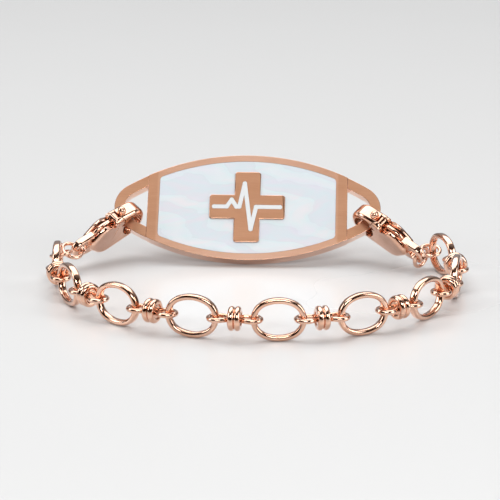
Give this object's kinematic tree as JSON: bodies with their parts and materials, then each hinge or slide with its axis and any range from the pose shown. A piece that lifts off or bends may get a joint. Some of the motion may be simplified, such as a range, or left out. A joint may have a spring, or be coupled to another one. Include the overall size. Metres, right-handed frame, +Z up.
{
  "type": "medical alert bracelet",
  "caption": "Medical alert bracelet: oval tag plate with a pearl inlay and cross emblem, chain of upright oval links and collared connectors, lobster clasps at both tag ends.",
  "frame": {"origin": "middle of the standing loop's bounding box, on the table it stands on", "axes": "+X to the right along the tag plate, +Y away from the viewer from the chain towards the plate, +Z up"},
  "size_m": [0.0676, 0.053, 0.0163],
  "materials": {
    "polished_rose_gold": "polished rose gold plate",
    "mother_of_pearl": "polished shell with soft colour play",
    "white_enamel": "smooth enamel"
  },
  "bodies": {
    "bracelet": {"tag_plate": "polished_rose_gold", "pearl_inlay": "mother_of_pearl", "emblem_cross": "polished_rose_gold", "emblem_line": "white_enamel", "big_link_1": "polished_rose_gold", "big_link_2": "polished_rose_gold", "big_link_3": "polished_rose_gold", "big_link_4": "polished_rose_gold", "big_link_5": "polished_rose_gold", "big_link_6": "polished_rose_gold", "big_link_7": "polished_rose_gold", "big_link_8": "polished_rose_gold", "big_link_9": "polished_rose_gold", "connector_1": "polished_rose_gold", "connector_2": "polished_rose_gold", "connector_3": "polished_rose_gold", "connector_4": "polished_rose_gold", "connector_5": "polished_rose_gold", "connector_6": "polished_rose_gold", "connector_7": "polished_rose_gold", "connector_8": "polished_rose_gold", "jump_ring_left_1": "polished_rose_gold", "jump_ring_left_2": "polished_rose_gold", "jump_ring_right_1": "polished_rose_gold", "jump_ring_right_2": "polished_rose_gold", "clasp_body_left": "polished_rose_gold", "clasp_body_right": "polished_rose_gold", "clasp_pin_left": "polished_rose_gold", "clasp_pin_right": "polished_rose_gold"},
    "lever_left": {"clasp_lever_left": "polished_rose_gold"},
    "lever_right": {"clasp_lever_right": "polished_rose_gold"}
  },
  "joints": [
    {"name": "lever_left_hinge", "type": "hinge", "parent": "bracelet", "child": "lever_left", "pos_m": [-0.02342, 0.01622, 0.0076], "axis": [-0.6883, 0.536, 0.4888], "range_deg": [0, 11], "stiffness_Nm_per_rad": 0.002},
    {"name": "lever_right_hinge", "type": "hinge", "parent": "bracelet", "child": "lever_right", "pos_m": [0.02051, 0.01412, 0.00746], "axis": [-0.6796, -0.5003, -0.5365], "range_deg": [0, 11], "stiffness_Nm_per_rad": 0.002}
  ]
}
